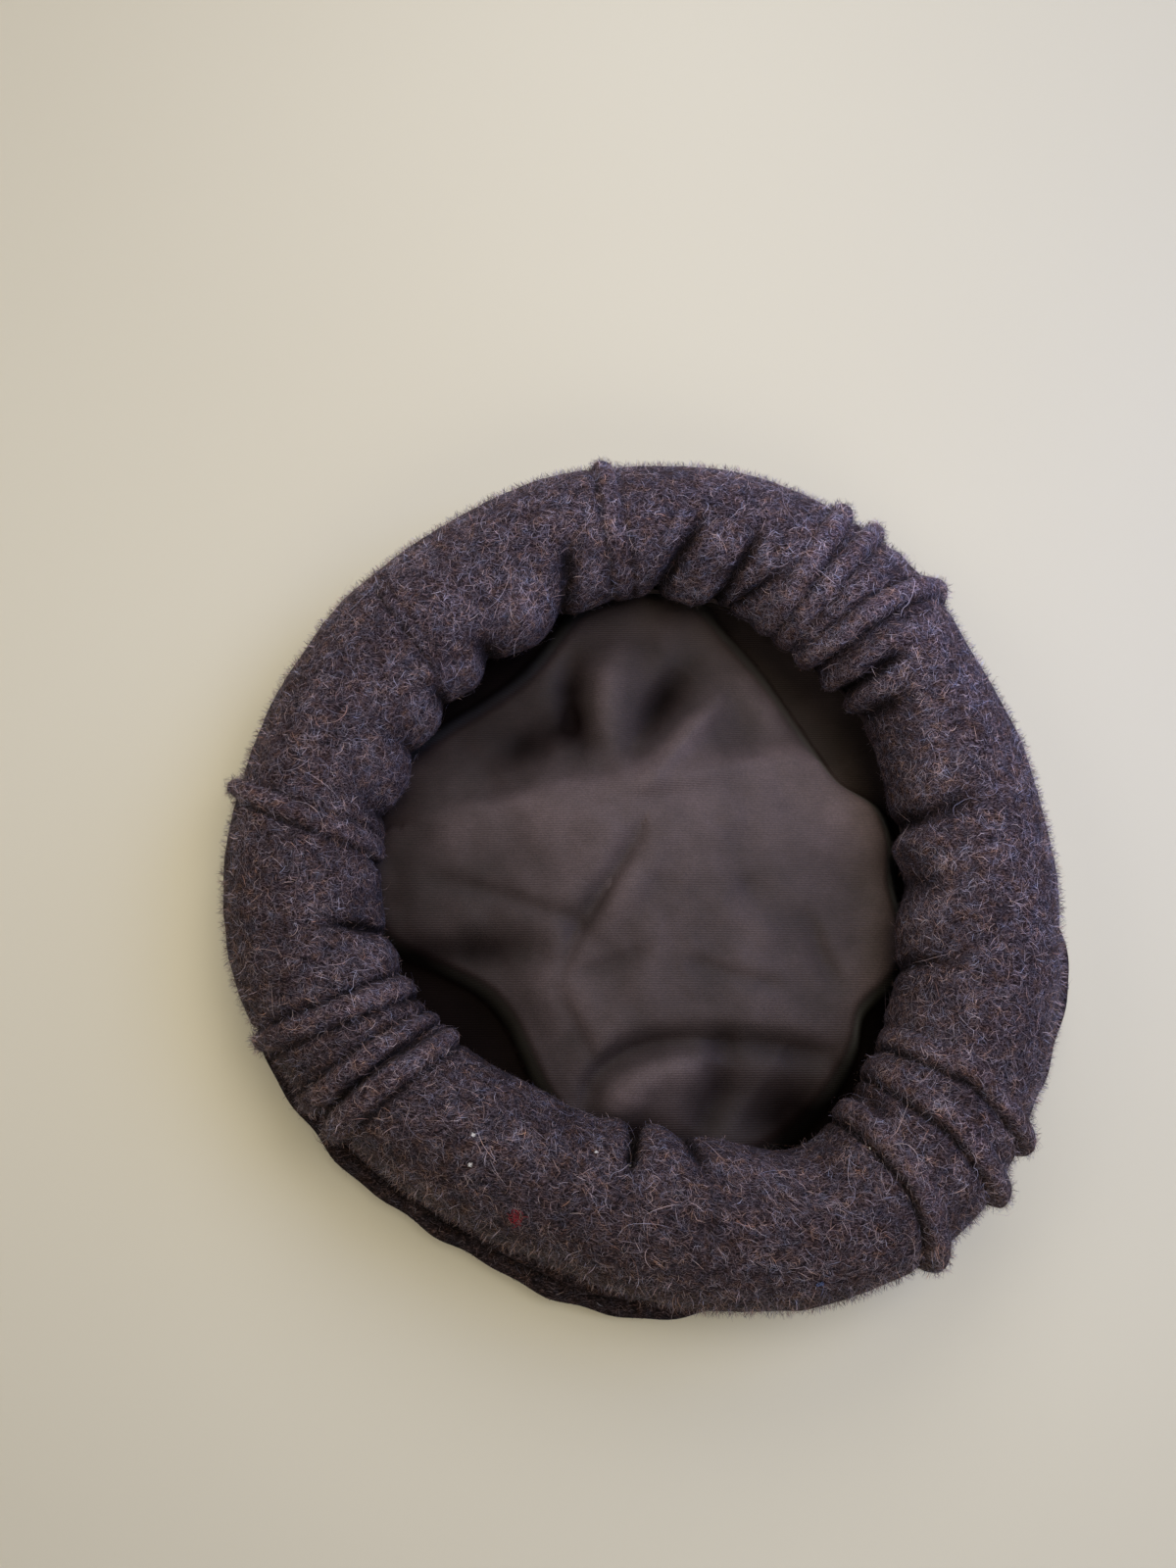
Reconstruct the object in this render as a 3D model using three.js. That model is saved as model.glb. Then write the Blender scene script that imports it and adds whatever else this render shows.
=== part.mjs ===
// A pakol: a soft round wool cap with a thick rolled brim, lying upside down on its crown.
// Millimetres, +Z up. The head opening faces up and the origin is the middle of the cap's
// box, on the surface that the crown rests on. Angles are in degrees, counter-clockwise
// from +X as seen from above.
//
// Three sewn pieces, each one closed solid:
//   crown         the round wool top of the cap, lowest here, with its thick sewn edge
//   rolled_brim   the side band: from the crown's edge it runs inwards over the crown,
//                 up round the head opening, and is wound outwards and down into a roll
//   lining        the satin lining, puffed up off the crown and sewn up the band's inside
import * as THREE from 'three';

// ---- driving dimensions ---------------------------------------------------------------

const CLOTH = 3;                 // thickness of the wool cloth
const LINING_CLOTH = 1;          // thickness of the lining
const CLEARANCE = 0.4;           // gap left between pieces that are sewn together

const ROLL_TOP = 54;             // mean height of the cloth's middle at the top of the roll
const ROLL_TOP_CHANGE = 3;       // the roll is this much higher on its thick side
const THICK_SIDE = 300;          // direction of the thick side
const BAND_FLOOR = 11;           // height of the band's middle where it lies over the crown

const CROWN_FLAT = 112;          // radius inside which the crown lies flat
const EDGE_HEIGHT = 11;          // height of the middle of the crown's sewn edge
const EDGE_THICKNESS = 4.6;      // the edge is two turned cloths, so thicker than one
const SEAM_INSET = 7;            // the band starts this far inside the crown's edge

const EDGE_LAP = 5;              // width of the crown's cloth that is turned into its edge
const EDGE_ROUNDING = 1.2;       // how far the edge's corners are rounded back
const CROWN_RISE = 2.8;          // height of the crown halfway up its slope
const SLOPE_SHARE = 0.55;        // where that is, from the flat part to the edge

const RIDGE_RADIUS = 118;        // mean radius of the top of the roll, for widths along it
const TUCK_SHARES = [-1.15, -0.55, 0, 0.55, 1.15];   // columns over a tuck, in half widths
const GATHER_SHARES = [-0.9, 0, 0.9];                // and over a gather
const GATHER_SHARPNESS = 1.6;    // how quickly a gather fades beside its line

const LINING_FLOOR = 4.4;        // lowest height of the lining's middle, over the crown
const PUFF = 19;                 // how far the lining stands up off the crown
const LOWEST_PUFF = 3;           // least height of the puff in its deepest folds
const PUFF_FULLNESS = 3.2;       // the puff stays high until nearer the pocket if this is more
const PUFF_EDGE_CURVE = 1.4;     // and turns down into it more gently if this is more
const POCKET_REACH = 0.34;       // how far under the roll the lining's pocket goes
const POCKET_TURN = 2.6;         // the pocket's bend stands this far off the band
const POCKET_RISE = 0.55;        // share of the height to the band's inside at that bend
const BAND_ROOM = 0.9;            // the lining stands this far off the band where it is plain
const TUCK_ROOM = 3.2;           // and this much further off where tucks are
const HEM_REACH = 0.35;          // share of the band's last step that the lining's hem climbs

const PLAIN_STEP = 9;            // widest step, in degrees, between columns of the band
const CLOSEST_COLUMNS = 0.7;     // columns nearer than this many degrees become one
const CROWN_COLUMNS = 48;
const LINING_COLUMNS = 44;

// The roll all the way round: outermost and innermost radius of the cloth's middle.
const ROLL = [
  { at: 0, outer: 132, inner: 84 },
  { at: 18, outer: 132, inner: 86 },
  { at: 36, outer: 135, inner: 92 },
  { at: 50, outer: 142, inner: 94 },
  { at: 62, outer: 145, inner: 97 },
  { at: 76, outer: 148, inner: 101 },
  { at: 92, outer: 146, inner: 102 },
  { at: 106, outer: 146, inner: 99 },
  { at: 120, outer: 143, inner: 95 },
  { at: 140, outer: 142, inner: 93 },
  { at: 160, outer: 140, inner: 93 },
  { at: 180, outer: 140, inner: 92 },
  { at: 196, outer: 138, inner: 90 },
  { at: 210, outer: 133, inner: 86 },
  { at: 224, outer: 128, inner: 82 },
  { at: 240, outer: 126, inner: 78 },
  { at: 256, outer: 126, inner: 80 },
  { at: 272, outer: 131, inner: 82 },
  { at: 286, outer: 137, inner: 89 },
  { at: 298, outer: 142, inner: 98 },
  { at: 312, outer: 144, inner: 94 },
  { at: 326, outer: 140, inner: 91 },
  { at: 342, outer: 136, inner: 85 },
];

// The crown's sewn edge, which peeks out beyond the roll.
const CROWN_EDGE = [
  { at: 0, radius: 143 },
  { at: 25, radius: 143 },
  { at: 45, radius: 148 },
  { at: 65, radius: 154 },
  { at: 85, radius: 156 },
  { at: 99, radius: 158 },
  { at: 112, radius: 153 },
  { at: 135, radius: 148 },
  { at: 165, radius: 144 },
  { at: 190, radius: 142.5 },
  { at: 205, radius: 142 },
  { at: 225, radius: 138 },
  { at: 240, radius: 135 },
  { at: 252, radius: 137 },
  { at: 264, radius: 140.5 },
  { at: 285, radius: 141 },
  { at: 305, radius: 147 },
  { at: 330, radius: 149.5 },
  { at: 348, radius: 149.5 },
];

// Path of the band's cloth through one section of the roll, from the crown seam to the
// free edge inside the roll. across: 0 innermost, 1 outermost. up: 0 at BAND_FLOOR, 1 at
// the top. along: the place on the roll at which the tucks' tables apply, -1 at the head
// opening, 0 on top, 1 outside. gather, rib and nub: which share of a gather's depth, of a
// tuck's height and of its outer end's height shows there.
const BAND_PATH = [
  { across: 0.68, up: 0.0, along: -1, gather: 0, rib: 0, nub: 0 },
  { across: 0.36, up: 0.05, along: -1, gather: 0.3, rib: 0, nub: 0 },
  { across: 0.15, up: 0.18, along: -1, gather: 0.7, rib: 0.3, nub: 0 },
  { across: 0.03, up: 0.36, along: -1, gather: 1, rib: 0.8, nub: 0 },
  { across: 0.0, up: 0.53, along: -0.9, gather: 1, rib: 1, nub: 0 },
  { across: 0.06, up: 0.73, along: -0.65, gather: 0.9, rib: 1, nub: 0 },
  { across: 0.2, up: 0.9, along: -0.35, gather: 0.5, rib: 1, nub: 0 },
  { across: 0.42, up: 1.0, along: 0, gather: 0.15, rib: 1, nub: 0 },
  { across: 0.65, up: 0.97, along: 0.3, gather: 0, rib: 1, nub: 0.1 },
  { across: 0.84, up: 0.84, along: 0.6, gather: 0, rib: 1, nub: 0.55 },
  { across: 0.96, up: 0.64, along: 0.85, gather: 0, rib: 1, nub: 1 },
  { across: 1.0, up: 0.43, along: 1, gather: 0, rib: 1, nub: 1 },
  { across: 0.95, up: 0.25, along: 1, gather: 0, rib: 0.8, nub: 0.7 },
  { across: 0.79, up: 0.14, along: 1, gather: 0, rib: 0.2, nub: 0.2 },
  { across: 0.5, up: 0.15, along: 1, gather: 0, rib: 0, nub: 0 },
  { across: 0.27, up: 0.42, along: 1, gather: 0.4, rib: 0, nub: 0 },
  { across: 0.42, up: 0.74, along: 1, gather: 0.2, rib: 0, nub: 0 },
  { across: 0.7, up: 0.62, along: 1, gather: 0, rib: 0, nub: 0 },
];

// Corded tucks that run over the roll: their direction at the head opening, on top of the
// roll and at its outside, their width, how far they stand out, and how much further their
// outer ends do.
const TUCKS = [
  { inner: 55.7, top: 50.6, outer: 44.6, width: 8, height: 2.3, nub: 3 },
  { inner: 61.8, top: 58.2, outer: 55.8, width: 7.5, height: 1.6, nub: 3.4 },
  { inner: 66.2, top: 63.6, outer: 62.6, width: 7.5, height: 1.4, nub: 3.2 },
  { inner: 95.6, top: 96.8, outer: 96.8, width: 7, height: 0.8, nub: 4 },
  { inner: 174.6, top: 171.2, outer: 167.6, width: 7, height: 1.1, nub: 4.4 },
  { inner: 203.3, top: 203.6, outer: 202.8, width: 8, height: 1.1, nub: 1.3 },
  { inner: 212, top: 212, outer: 212.6, width: 7, height: 1.2, nub: 1.2 },
  { inner: 217, top: 217.2, outer: 218.6, width: 7.5, height: 1.7, nub: 2 },
  { inner: 309, top: 309.3, outer: 305.3, width: 8, height: 1.7, nub: 3.8 },
  { inner: 318.6, top: 319.3, outer: 316.8, width: 8, height: 1.5, nub: 4 },
  { inner: 325.2, top: 327, outer: 323.9, width: 7.5, height: 1.3, nub: 4 },
];

// Gathers, where the cloth is drawn in round the head opening: a positive depth is a
// valley that runs into the roll and a negative one is a soft bulge.
const GATHERS = [
  { inner: 12, top: 13.2, width: 9, depth: 3 },
  { inner: 44.7, top: 41.8, width: 7, depth: 4.5 },
  { inner: 77.3, top: 73, width: 7, depth: 4 },
  { inner: 89.2, top: 83, width: 7, depth: 5 },
  { inner: 108.4, top: 104.2, width: 8, depth: 3.5 },
  { inner: 126.4, top: 126, width: 9, depth: 3.5 },
  { inner: 139.7, top: 139.6, width: 7, depth: 2.5 },
  { inner: 158.5, top: 158, width: 16, depth: -2.5 },
  { inner: 191.6, top: 187.8, width: 6, depth: 4 },
  { inner: 264.9, top: 262.8, width: 6, depth: 5.5 },
  { inner: 275.6, top: 280, width: 7, depth: 2.5 },
  { inner: 340.4, top: 344.5, width: 7, depth: 2 },
];

// Puffs, valleys and creases of the lining: straight ridges from one point to another.
const LINING_FOLDS = [
  { fromX: -78, fromY: 24, toX: -17, toY: 34, width: 16, height: 3.5 },
  { fromX: -17, fromY: 34, toX: 50, toY: 47, width: 18, height: 4.5 },
  { fromX: 4, fromY: 32, toX: -24, toY: -12, width: 6, height: -3.2 },
  { fromX: 6, fromY: 44, toX: 24, toY: 82, width: 8, height: 4.5 },
  { fromX: 1, fromY: 46, toX: 16, toY: 90, width: 6, height: -4.5 },
  { fromX: -9, fromY: 56, toX: -24, toY: 92, width: 7, height: -4.5 },
  { fromX: -88, fromY: -16, toX: -41, toY: -17, width: 8, height: -4 },
  { fromX: -22, fromY: -68, toX: 0, toY: -48, width: 7, height: -4.5 },
  { fromX: 0, fromY: -48, toX: 62, toY: -49, width: 7, height: -4.5 },
  { fromX: 16, fromY: -64, toX: 66, toY: -71, width: 13, height: -7 },
];

// The lining's circles of points, as shares of the way from the middle into the pocket.
const LINING_RINGS = [0.14, 0.28, 0.42, 0.54, 0.64, 0.73, 0.82, 0.91, 1];

// ---- curves round the cap ---------------------------------------------------------------

const radians = (degrees) => (degrees * Math.PI) / 180;
const mix = (from, to, share) => from + (to - from) * share;
const angleBetween = (a, b) => ((((a - b) % 360) + 540) % 360) - 180;

// Smooth value of one column of a table at an angle, closed on itself after a full turn.
function around(rows, column, angle, place = 'at') {
  const count = rows.length;
  const turned = ((angle % 360) + 360) % 360;
  const row = (i) => rows[((i % count) + count) % count];
  const at = (i) => row(i)[place] + 360 * Math.floor(i / count);
  const value = (i) => row(i)[column];
  let next = rows.findIndex((entry) => entry[place] > turned);
  if (next === -1) next = count;
  const [a, b, c, d] = [next - 2, next - 1, next, next + 1];
  const span = at(c) - at(b);
  const t = (turned - at(b)) / span;
  const slopeB = ((value(c) - value(a)) / (at(c) - at(a))) * span;
  const slopeC = ((value(d) - value(b)) / (at(d) - at(b))) * span;
  return (
    value(b) * (1 + 2 * t) * (1 - t) ** 2 +
    slopeB * t * (1 - t) ** 2 +
    value(c) * t * t * (3 - 2 * t) +
    slopeC * t * t * (t - 1)
  );
}

// How far the cloth leans sideways at the head opening and outside, for a direction on top.
const LEANS = [...TUCKS, ...GATHERS]
  .map(({ inner, top, outer = top }) => ({ top, inward: inner - top, outward: outer - top }))
  .sort((a, b) => a.top - b.top);

// Straight share of the lean between the two folds on either side of a direction.
function leanOf(top, along) {
  const column = along < 0 ? 'inward' : 'outward';
  const turned = ((top % 360) + 360) % 360;
  const found = LEANS.findIndex((lean) => lean.top > turned);
  const after = found === -1 ? LEANS.length : found;
  const [a, b] = [LEANS[(after + LEANS.length - 1) % LEANS.length], LEANS[after % LEANS.length]];
  const span = (b.top - a.top + 360) % 360;
  const share = ((turned - a.top + 360) % 360) / span;
  return Math.abs(along) * mix(a[column], b[column], share);
}

// Distance in mm, on top of the roll, from a tuck or gather to a direction.
const offsetFrom = (feature, top) => radians(angleBetween(top, feature.top)) * RIDGE_RADIUS;

// How far the tucks stand out of the cloth at a row of the band's path.
function tuckHeight(top, row) {
  let height = 0;
  for (const tuck of TUCKS) {
    const share = (2 * offsetFrom(tuck, top)) / tuck.width;
    height += (tuck.height * row.rib + tuck.nub * row.nub) * Math.max(1 - share * share, 0);
  }
  return height;
}

function gatherDepth(top) {
  let depth = 0;
  for (const gather of GATHERS) {
    const share = (2 * offsetFrom(gather, top)) / gather.width;
    depth += gather.depth * Math.exp(-GATHER_SHARPNESS * share * share);
  }
  return depth;
}

// ---- building closed meshes ---------------------------------------------------------------

// Two triangles between neighbouring points of one section and the next. The two faces of
// a cloth are split along the same diagonal, so that they stay a cloth's thickness apart.
function quad(here, there, onFirstFace) {
  const [a, b] = here;
  const [c, d] = there;
  return onFirstFace ? [a, d, c, a, b, d] : [a, b, c, b, d, c];
}

function meshFrom(points, triangles) {
  const geometry = new THREE.BufferGeometry();
  geometry.setAttribute('position', new THREE.Float32BufferAttribute(points.flat(), 3));
  geometry.setIndex(triangles);
  geometry.computeVertexNormals();
  return geometry;
}

// Sections stand at successive directions; each is a closed loop of [radius, angle, z].
function torusFrom(sections) {
  const count = sections[0].length;
  const points = sections.flat().map(([radius, angle, z]) => [
    radius * Math.cos(radians(angle)),
    radius * Math.sin(radians(angle)),
    z,
  ]);
  const triangles = [];
  sections.forEach((_, s) => {
    const here = s * count;
    const there = ((s + 1) % sections.length) * count;
    for (let k = 0; k < count; k += 1) {
      const next = (k + 1) % count;
      triangles.push(...quad([here + k, here + next], [there + k, there + next], k < count / 2));
    }
  });
  return meshFrom(points, triangles);
}

// Sections stand at successive directions; each runs from one pole on the axis to the
// other as [x, y, z] points. The poles are given once.
function lensFrom(sections, firstPole, lastPole) {
  const count = sections[0].length;
  const points = [...sections.flat(), firstPole, lastPole];
  const first = points.length - 2;
  const last = points.length - 1;
  const triangles = [];
  sections.forEach((_, s) => {
    const here = s * count;
    const there = ((s + 1) % sections.length) * count;
    triangles.push(first, there, here);
    for (let k = 0; k < count - 1; k += 1) {
      const next = k + 1;
      triangles.push(...quad([there + k, there + next], [here + k, here + next], k < count / 2));
    }
    triangles.push(here + count - 1, there + count - 1, last);
  });
  return meshFrom(points, triangles);
}

// Unit normals, to the left of travel, of a path of [a, b] points.
function leftNormals(path) {
  return path.map((_, k) => {
    const before = path[Math.max(k - 1, 0)];
    const after = path[Math.min(k + 1, path.length - 1)];
    const [da, db] = [after[0] - before[0], after[1] - before[1]];
    const length = Math.hypot(da, db);
    return [-db / length, da / length];
  });
}

// ---- rolled brim ---------------------------------------------------------------

const crownEdge = (angle) => around(CROWN_EDGE, 'radius', angle);
const rollTop = (angle) => ROLL_TOP + ROLL_TOP_CHANGE * Math.cos(radians(angle - THICK_SIDE));

// Middle of the band's cloth in one section, as [radius, z, angle] from the crown seam
// inwards, with the cloth drawn into the roll by a gather's depth.
function bandPath(top, depth = gatherDepth(top)) {
  const path = BAND_PATH.map(({ across, up, along, gather }) => {
    const angle = top + leanOf(top, along);
    const inner = around(ROLL, 'inner', angle);
    const outer = around(ROLL, 'outer', angle);
    const height = rollTop(angle);
    const point = [mix(inner, outer, across), mix(BAND_FLOOR, height, up)];
    const inwards = [mix(inner, outer, 0.5) - point[0], mix(BAND_FLOOR, height, 0.5) - point[1]];
    const push = (depth * gather) / Math.hypot(...inwards);
    return [point[0] + inwards[0] * push, point[1] + inwards[1] * push, angle];
  });
  const atSeam = path[0][2];
  const seamHeight = EDGE_HEIGHT + EDGE_THICKNESS / 2 + CLEARANCE + CLOTH / 2;
  return [[crownEdge(atSeam) - SEAM_INSET, seamHeight, atSeam], ...path];
}

function bandSection(top) {
  const path = bandPath(top);
  const normals = leftNormals(path);
  const rows = [BAND_PATH[0], ...BAND_PATH];
  const face = (side) =>
    path.map(([radius, z, angle], k) => {
      const raised = side > 0 ? tuckHeight(top, rows[k]) : 0;
      const offset = (side * CLOTH) / 2 + raised;
      return [radius + normals[k][0] * offset, angle, z + normals[k][1] * offset];
    });
  return [...face(1), ...face(-1).reverse()];
}

// Directions of the band's columns: five over each tuck, three over each gather, and
// plain ones between them.
function bandDirections() {
  const directionsOver = (feature, shares) =>
    shares.map((share) => feature.top + (share * feature.width * 90) / (Math.PI * RIDGE_RADIUS));
  const marked = [
    ...TUCKS.flatMap((tuck) => directionsOver(tuck, TUCK_SHARES)),
    ...GATHERS.flatMap((gather) => directionsOver(gather, GATHER_SHARES)),
  ].sort((a, b) => a - b);
  const kept = [];
  for (const direction of marked) {
    if (!kept.length || direction - kept[kept.length - 1] > CLOSEST_COLUMNS) kept.push(direction);
  }
  const directions = [];
  kept.forEach((from, i) => {
    const to = i + 1 < kept.length ? kept[i + 1] : kept[0] + 360;
    const steps = Math.ceil((to - from) / PLAIN_STEP);
    for (let k = 0; k < steps; k += 1) directions.push(mix(from, to, k / steps));
  });
  return directions;
}

const rolledBrim = () => torusFrom(bandDirections().map(bandSection));

// ---- crown ---------------------------------------------------------------

function crown() {
  const half = EDGE_THICKNESS / 2;
  const sections = [];
  for (let column = 0; column < CROWN_COLUMNS; column += 1) {
    const angle = (360 * column) / CROWN_COLUMNS;
    const edge = crownEdge(angle);
    const slope = mix(CROWN_FLAT, edge, SLOPE_SHARE);
    const rounded = half * 0.7;
    const profile = [
      [CROWN_FLAT / 2, 0],
      [CROWN_FLAT, 0],
      [slope, CROWN_RISE],
      [edge - EDGE_LAP, EDGE_HEIGHT - half],
      [edge - EDGE_ROUNDING, EDGE_HEIGHT - rounded],
      [edge, EDGE_HEIGHT],
      [edge - EDGE_ROUNDING, EDGE_HEIGHT + rounded],
      [edge - EDGE_LAP, EDGE_HEIGHT + half],
      [slope, CROWN_RISE + CLOTH],
      [CROWN_FLAT, CLOTH],
      [CROWN_FLAT / 2, CLOTH],
    ];
    const [cos, sin] = [Math.cos(radians(angle)), Math.sin(radians(angle))];
    sections.push(profile.map(([radius, z]) => [radius * cos, radius * sin, z]));
  }
  return lensFrom(sections, [0, 0, 0], [0, 0, CLOTH]);
}

// ---- lining ---------------------------------------------------------------

// Distance from a point to the straight line of a fold.
function distanceTo(fold, x, y) {
  const [dx, dy] = [fold.toX - fold.fromX, fold.toY - fold.fromY];
  const along = ((x - fold.fromX) * dx + (y - fold.fromY) * dy) / (dx * dx + dy * dy);
  const share = Math.min(Math.max(along, 0), 1);
  return Math.hypot(x - fold.fromX - share * dx, y - fold.fromY - share * dy);
}

// Height of the puffed lining over the crown; share is 0 in the middle and 1 in the pocket.
function puffHeight(x, y, share) {
  const dome = (1 - share ** PUFF_FULLNESS) ** PUFF_EDGE_CURVE;
  let folds = 0;
  for (const fold of LINING_FOLDS) {
    folds += fold.height * Math.exp(-((distanceTo(fold, x, y) / fold.width) ** 2));
  }
  return LINING_FLOOR + dome * Math.max(PUFF + folds, LOWEST_PUFF);
}

// The direction on top of the roll whose cloth leans to a direction at the head opening.
function topOver(angle) {
  let top = angle;
  for (let pass = 0; pass < 6; pass += 1) top = angle - leanOf(top, -1);
  return top;
}

// Middle of the lining in one section, as [radius, z] from the middle of the cap outwards.
function liningPath(angle) {
  const [cos, sin] = [Math.cos(radians(angle)), Math.sin(radians(angle))];
  const top = topOver(angle);
  const band = bandPath(top, Math.min(gatherDepth(top), 0));
  const pocket = mix(around(ROLL, 'inner', angle), around(ROLL, 'outer', angle), POCKET_REACH);
  const path = LINING_RINGS.map((share) => [
    share * pocket,
    puffHeight(share * pocket * cos, share * pocket * sin, share),
  ]);
  // From the pocket the lining turns back up the band's inner face.
  const normals = leftNormals(band);
  const onBand = (k) => {
    const standOff = BAND_ROOM + TUCK_ROOM * BAND_PATH[k - 1].rib;
    const offset = (CLOTH + LINING_CLOTH) / 2 + standOff;
    return [band[k][0] + normals[k][0] * offset, band[k][1] + normals[k][1] * offset];
  };
  const [turn, side, hem] = [onBand(2), onBand(3), onBand(4)];
  path.push([turn[0] + POCKET_TURN, mix(LINING_FLOOR, turn[1], POCKET_RISE)]);
  path.push(turn, side, [mix(side[0], hem[0], HEM_REACH), mix(side[1], hem[1], HEM_REACH)]);
  return path;
}

function lining() {
  const half = LINING_CLOTH / 2;
  const sections = [];
  for (let column = 0; column < LINING_COLUMNS; column += 1) {
    const angle = (360 * column) / LINING_COLUMNS;
    const [cos, sin] = [Math.cos(radians(angle)), Math.sin(radians(angle))];
    const path = liningPath(angle);
    const normals = leftNormals(path);
    const face = (side) =>
      path.map(([radius, z], k) => {
        const r = radius + side * half * normals[k][0];
        return [r * cos, r * sin, z + side * half * normals[k][1]];
      });
    sections.push([...face(-1), ...face(1).reverse()]);
  }
  const middle = puffHeight(0, 0, 0);
  return lensFrom(sections, [0, 0, middle - half], [0, 0, middle + half]);
}

// ---- the cap ---------------------------------------------------------------

const wool = new THREE.MeshStandardMaterial({ color: 0x4a4247, roughness: 0.95 });
const darkWool = new THREE.MeshStandardMaterial({ color: 0x3d353a, roughness: 0.95 });
const satin = new THREE.MeshStandardMaterial({ color: 0x5e564f, roughness: 0.5 });

function piece(name, geometry, material) {
  const mesh = new THREE.Mesh(geometry, material);
  mesh.name = name;
  return mesh;
}

const pakol = new THREE.Group();
pakol.add(piece('crown', crown(), darkWool));
pakol.add(piece('rolled_brim', rolledBrim(), wool));
pakol.add(piece('lining', lining(), satin));

// The origin goes to the middle of the cap's box, at the height of its lowest point.
const box = new THREE.Box3().setFromObject(pakol);
const centre = box.getCenter(new THREE.Vector3());
pakol.position.set(-centre.x, -centre.y, -box.min.z);

export default pakol;
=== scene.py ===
"""A pakol lying upside down on its crown, seen nearly from straight above.

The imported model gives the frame: three nodes, all on the body "root". Each is replaced by
a finer piece of the same form: the crown, the rolled brim and the lining. The wool also
gets its fibres, a few specks of other wool and loose hairs. Lengths in the tables are
millimetres and angles are degrees, counter-clockwise from +X as seen from above. The far
side is +Y, which the names below call north, and west is -X.
"""
import math

import bmesh
import bpy
import numpy as np
from mathutils import Matrix, Vector


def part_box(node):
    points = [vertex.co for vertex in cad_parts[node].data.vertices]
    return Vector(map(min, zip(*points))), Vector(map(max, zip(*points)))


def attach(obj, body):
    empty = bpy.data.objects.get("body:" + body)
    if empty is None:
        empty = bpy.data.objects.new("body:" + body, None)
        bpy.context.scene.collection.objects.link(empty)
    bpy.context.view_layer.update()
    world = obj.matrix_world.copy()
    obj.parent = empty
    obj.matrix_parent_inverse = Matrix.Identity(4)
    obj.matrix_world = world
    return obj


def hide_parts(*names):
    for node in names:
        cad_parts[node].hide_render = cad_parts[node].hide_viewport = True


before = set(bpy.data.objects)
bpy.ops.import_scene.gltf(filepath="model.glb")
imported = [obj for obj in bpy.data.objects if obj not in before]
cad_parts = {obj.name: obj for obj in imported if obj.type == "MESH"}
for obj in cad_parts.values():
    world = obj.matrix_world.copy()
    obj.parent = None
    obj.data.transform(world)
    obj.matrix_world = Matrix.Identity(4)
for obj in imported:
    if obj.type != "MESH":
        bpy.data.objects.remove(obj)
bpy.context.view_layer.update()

# ---- tables ----------------------------------------------------------


def table(columns, rows):
    """Rows of named numbers, from text with one row a line."""
    names = columns.split()
    return [dict(zip(names, map(float, row.split()))) for row in rows.splitlines()]


# ---- sizes -----------------------------------------------------------

MM = 0.001
CLOTH = 3.0
LINING_CLOTH = 0.8

# Height of the band's middle on top of the roll, how much more that is on the thick side
# and less opposite, and its height at the lowest place under the roll.
ROLL_TOP = 54.0
ROLL_TOP_CHANGE = 3.0
THICK_SIDE = 300.0
BAND_FLOOR = 11.0

# The crown's flat middle ends at a radius, and its side rises to a thicker sewn edge. The
# band is sewn on top of that edge, a little way in.
CROWN_FLAT = 112.0
CROWN_SLOPE_HEIGHT = 2.8
EDGE_HEIGHT = 11.0
EDGE_THICKNESS = 4.6
SEAM_INSET = 7.0
CLEARANCE = 0.4

# The roll all the way round: outermost and innermost radius of the cloth's middle.
ROLL = {
    "at": (0, 18, 36, 50, 62, 76, 92, 106, 120, 140, 160, 180,
           196, 210, 224, 240, 256, 272, 286, 298, 312, 326, 342),
    "outer": (132, 132, 135, 142, 145, 148, 146, 146, 143, 142, 140, 140,
              137.5, 131, 125, 122.5, 123, 130, 137, 142, 144, 140, 136),
    "inner": (84, 86, 92, 94, 97, 101, 102, 99, 95, 93, 93, 92,
              90, 86, 82, 78, 80, 82, 89, 98, 94, 91, 85),
}

# The crown's sewn edge.
CROWN_EDGE = {
    "at": (0, 25, 45, 65, 85, 99, 112, 135, 165, 190,
           205, 225, 240, 252, 264, 285, 305, 330, 348),
    "radius": (143, 143, 148, 154, 156, 158, 153, 148, 144, 142.5,
               142, 138, 135, 137, 140.5, 141, 147, 149.5, 149.5),
}

# The cloth's path through one section of the roll, from over the crown to its free edge.
# across goes from 0 innermost to 1 outermost, and up from BAND_FLOOR to the roll's top.
# along is the place on the roll that the folds' tables use: -1 at the head opening, 0 on
# top and 1 outside. rib and nub are the shares of a tuck's height and of its outer end's
# height that apply there. steps is how many fine steps the cloth takes to the next row.
BAND_PATH = {
    "across": (0.68, 0.36, 0.15, 0.03, 0.0, 0.06, 0.2, 0.42, 0.65, 0.84,
               0.96, 1.0, 0.95, 0.79, 0.5, 0.28, 0.26, 0.45, 0.66, 0.76),
    "up": (0.0, 0.05, 0.18, 0.36, 0.53, 0.73, 0.9, 1.0, 0.97, 0.84,
           0.64, 0.43, 0.25, 0.14, 0.16, 0.34, 0.6, 0.78, 0.71, 0.5),
    "along": (-1.6, -1.45, -1.25, -1.1, -0.9, -0.65, -0.35, 0, 0.3, 0.6,
              0.85, 1, 1.2, 1.4, 1.7, 2, 2, 2, 2, 2),
    "rib": (0, 0, 0.3, 0.8, 1, 1, 1, 1, 1, 1,
            1, 1, 0.8, 0.2, 0, 0, 0, 0, 0, 0),
    "nub": (0, 0, 0, 0, 0, 0, 0, 0, 0.1, 0.55,
            1, 1, 0.7, 0.2, 0, 0, 0, 0, 0, 0),
    "steps": (2, 3, 5, 6, 7, 8, 9, 9, 8, 7, 6, 4, 3, 2, 1, 1, 1, 1, 1, 0),
}

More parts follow.
